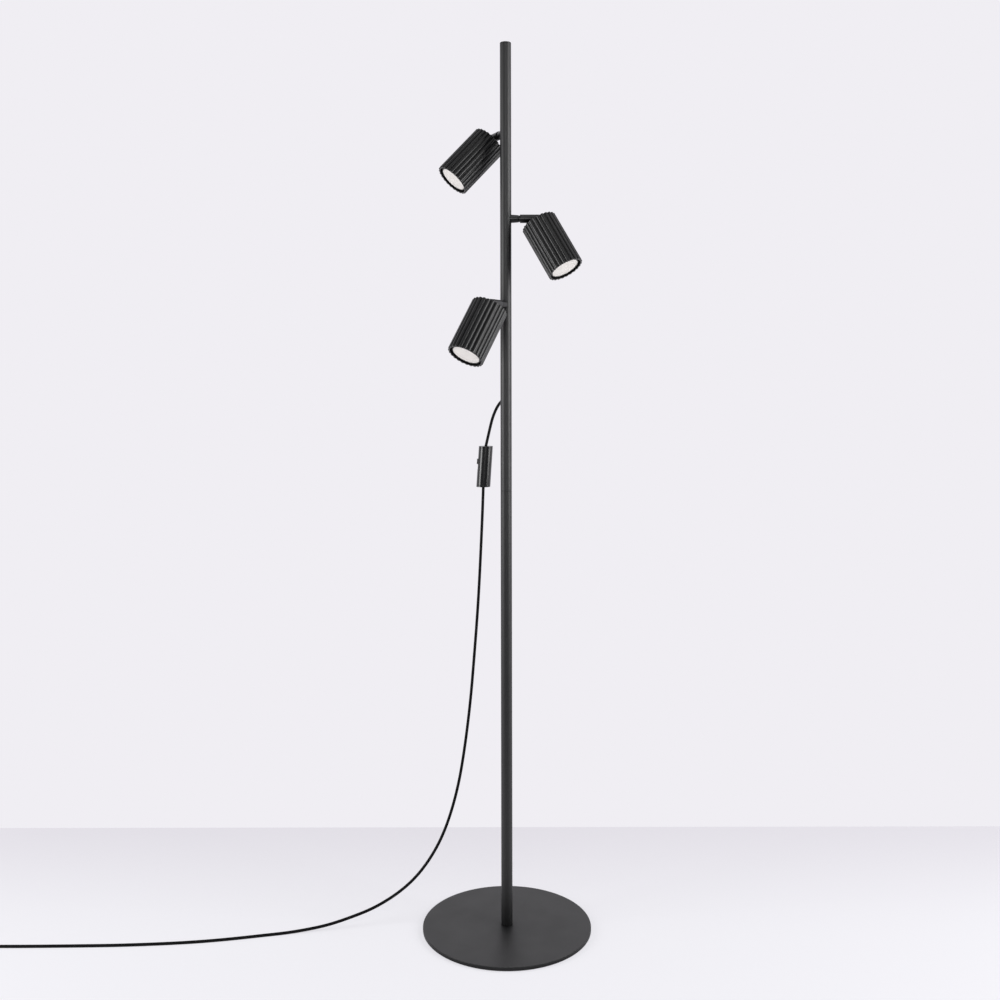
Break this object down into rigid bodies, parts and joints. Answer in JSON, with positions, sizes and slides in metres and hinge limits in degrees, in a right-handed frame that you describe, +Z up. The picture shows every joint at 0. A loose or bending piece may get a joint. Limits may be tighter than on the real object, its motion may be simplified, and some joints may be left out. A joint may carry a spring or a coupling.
{
  "type": "floor lamp",
  "caption": "Slim floor lamp: round plate base, straight two-piece pole and fluted cylindrical spots on arms that swivel and tilt, with a slide switch on its lead.",
  "frame": {"origin": "middle of the base plate, on the floor", "axes": "+Z up along the pole, +X to the viewer's right in the picture, +Y away from the viewer"},
  "size_m": [1.1019, 0.284, 1.5],
  "materials": {
    "powder_steel": "fine matt black powder coat on steel",
    "powder_aluminium": "fine matt black powder coat on aluminium",
    "pad_rubber": "dense black foam rubber",
    "zinc_steel": "zinc plated",
    "black_screw": "black oxide",
    "cord_black": "smooth black vinyl",
    "switch_black": "fine satin moulding",
    "plug_black": "fine satin moulding",
    "nickel_pins": "nickel plated",
    "inner_white": "moulded white",
    "wire_insulation": "silicone insulation",
    "holder_ceramic": "glazed ceramic",
    "bulb_white": "smooth white moulding",
    "lens_frosted": "frosted diffuser"
  },
  "bodies": {
    "stand": {"base_plate": "powder_steel", "floor_pad": "pad_rubber", "base_screw": "zinc_steel", "pole_foot": "zinc_steel", "lower_pole": "powder_steel", "lower_bush": "zinc_steel", "joint_stud": "zinc_steel", "upper_bush": "zinc_steel", "upper_pole": "powder_steel", "top_cap": "powder_steel", "stub_inserts": "zinc_steel", "cord_boot": "cord_black", "cord_clamp": "zinc_steel", "cord_inner_end": "cord_black", "wire_splices": "inner_white", "pole_wires": "wire_insulation", "cord_upper": "cord_black", "switch_body": "switch_black", "switch_cap_top": "switch_black", "switch_cap_bottom": "switch_black", "switch_block": "inner_white", "cord_lower": "cord_black", "cord_coil": "cord_black", "plug_body": "plug_black", "plug_pins": "nickel_pins", "upper_stub": "powder_aluminium", "middle_stub": "powder_aluminium", "lower_stub": "powder_aluminium"},
    "slider": {"switch_slider": "switch_black"},
    "upper_arm": {"upper_clip": "zinc_steel", "upper_knuckle": "powder_aluminium", "upper_pivot_screw": "black_screw"},
    "upper_head": {"upper_rear_cap": "powder_aluminium", "upper_shell": "powder_aluminium", "upper_lampholder": "holder_ceramic", "upper_holder_screws": "zinc_steel", "upper_bulb": "bulb_white", "upper_lens": "lens_frosted", "upper_leads": "wire_insulation"},
    "middle_arm": {"middle_clip": "zinc_steel", "middle_knuckle": "powder_aluminium", "middle_pivot_screw": "black_screw"},
    "middle_head": {"middle_rear_cap": "powder_aluminium", "middle_shell": "powder_aluminium", "middle_lampholder": "holder_ceramic", "middle_holder_screws": "zinc_steel", "middle_bulb": "bulb_white", "middle_lens": "lens_frosted", "middle_leads": "wire_insulation"},
    "lower_arm": {"lower_clip": "zinc_steel", "lower_knuckle": "powder_aluminium", "lower_pivot_screw": "black_screw"},
    "lower_head": {"lower_rear_cap": "powder_aluminium", "lower_shell": "powder_aluminium", "lower_lampholder": "holder_ceramic", "lower_holder_screws": "zinc_steel", "lower_bulb": "bulb_white", "lower_lens": "lens_frosted", "lower_leads": "wire_insulation"}
  },
  "joints": [
    {"name": "upper_swivel", "type": "hinge", "parent": "stand", "child": "upper_arm", "pos_m": [-0.00775, 0.01625, 1.3475], "axis": [-0.4305, 0.9026, 0], "range_deg": [-208.5, 121.5]},
    {"name": "upper_tilt", "type": "hinge", "parent": "upper_arm", "child": "upper_head", "pos_m": [-0.02239, 0.04693, 1.3475], "axis": [-0.6547, -0.3123, 0.6884], "range_deg": [-86.2, 5.8]},
    {"name": "middle_swivel", "type": "hinge", "parent": "stand", "child": "middle_arm", "pos_m": [0.018, 0, 1.2015], "axis": [1, 0, 0], "range_deg": [-144.6, 185.4]},
    {"name": "middle_tilt", "type": "hinge", "parent": "middle_arm", "child": "middle_head", "pos_m": [0.052, 0, 1.2015], "axis": [0, 0.9373, -0.3486], "range_deg": [-63.4, 28.6]},
    {"name": "lower_swivel", "type": "hinge", "parent": "stand", "child": "lower_arm", "pos_m": [-0.00817, -0.01604, 1.0555], "axis": [-0.454, -0.891, 0], "range_deg": [-152.5, 177.5]},
    {"name": "lower_tilt", "type": "hinge", "parent": "lower_arm", "child": "lower_head", "pos_m": [-0.02361, -0.04633, 1.0555], "axis": [0.8699, -0.4432, -0.2164], "range_deg": [-58.7, 33.3]},
    {"name": "switch_slide", "type": "slide", "parent": "stand", "child": "slider", "axis": [0.0654, 0, 0.9979], "range_m": [-0.008, 0]}
  ]
}
